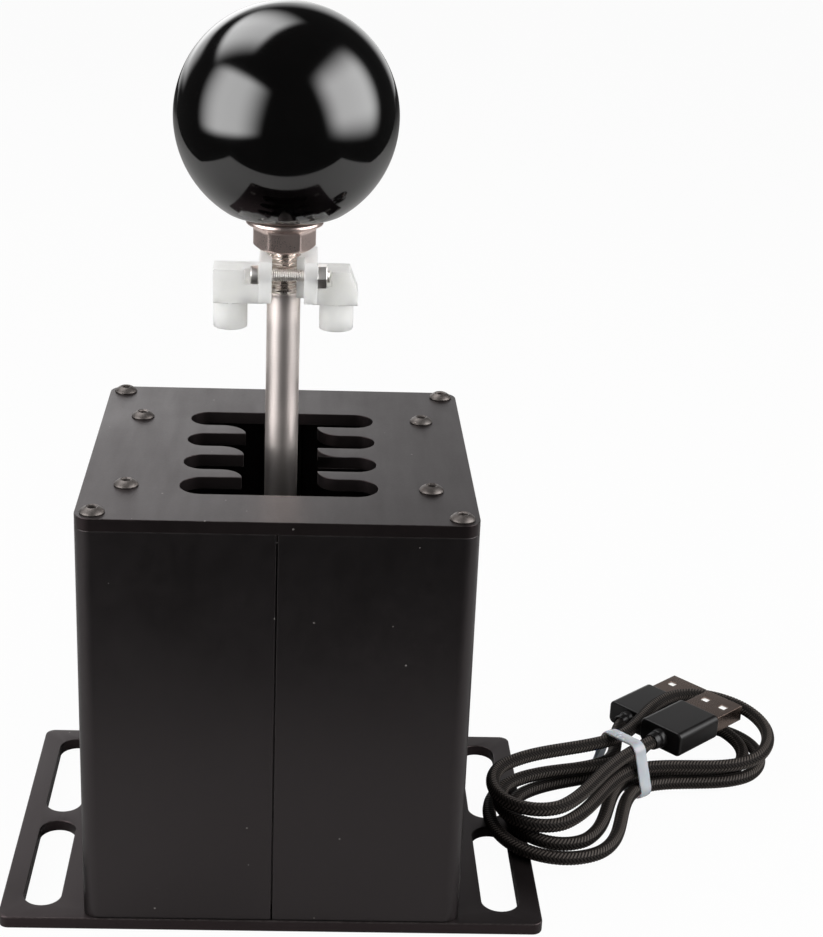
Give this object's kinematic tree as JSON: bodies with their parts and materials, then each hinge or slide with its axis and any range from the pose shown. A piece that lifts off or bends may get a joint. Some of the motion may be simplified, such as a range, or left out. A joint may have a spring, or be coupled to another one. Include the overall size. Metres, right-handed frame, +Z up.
{
  "type": "sim racing gear shifter",
  "caption": "Square-bodied gated gear lever for a driving simulator: slotted gate plate, ball knob on a two-axis rod, slotted base flange and a coiled lead.",
  "frame": {"origin": "centre of the base plate's underside", "axes": "+Z up, +Y from the driver towards the rear, +X to the driver's right"},
  "size_m": [0.2044, 0.1246, 0.2114],
  "materials": {
    "plate_paint": "satin dark grey powder coat",
    "housing_paint": "fine satin black coat",
    "black_oxide": "black oxide, satin",
    "bright_steel": "ground and polished",
    "nickel": "nickel plate",
    "gloss_black": "polished black",
    "natural_nylon": "milky, slightly translucent",
    "cast_alloy": "dark, machined",
    "bush_bronze": "sintered",
    "spring_wire": "drawn wire",
    "board_green": "solder mask",
    "chip_black": "moulded",
    "braid_black": "woven sleeve",
    "plug_black": "moulded, satin",
    "insert_white": "moulded",
    "tie_clear": "milky translucent"
  },
  "bodies": {
    "housing": {"base_plate": "plate_paint", "left_shell": "housing_paint", "right_shell": "housing_paint", "gate_plate": "plate_paint", "plate_screws": "black_oxide", "base_screws": "black_oxide", "left_bracket": "cast_alloy", "right_bracket": "cast_alloy", "trunnion_bushes": "bush_bronze", "select_springs": "spring_wire", "controller_board": "board_green", "board_chips": "chip_black", "board_standoffs": "bush_bronze", "board_screws": "nickel", "usb_socket": "nickel", "usb_cable": "braid_black", "rear_plug": "plug_black", "front_plug": "plug_black", "plug_shells": "nickel", "plug_inserts": "insert_white", "cable_tie": "tie_clear"},
    "cradle": {"cradle_frame": "cast_alloy", "trunnions": "bright_steel", "lever_pin": "bright_steel", "detent_plungers": "bush_bronze"},
    "lever": {"lever_hub": "cast_alloy", "hub_bushes": "bush_bronze", "tail_magnet": "nickel", "lever_rod": "bright_steel", "flange_nut": "nickel", "ball_knob": "gloss_black", "collar_left": "natural_nylon", "collar_right": "natural_nylon", "collar_screw": "bright_steel", "collar_nut": "bright_steel"}
  },
  "joints": [
    {"name": "select", "type": "hinge", "parent": "housing", "child": "cradle", "pos_m": [0, 0.00635, 0.027], "axis": [1, 0, 0], "range_deg": [-11.02, 21.29], "stiffness_Nm_per_rad": 1.2},
    {"name": "shift", "type": "hinge", "parent": "cradle", "child": "lever", "pos_m": [0, 0.00635, 0.027], "axis": [0, 1, 0], "range_deg": [-12, 12]}
  ]
}
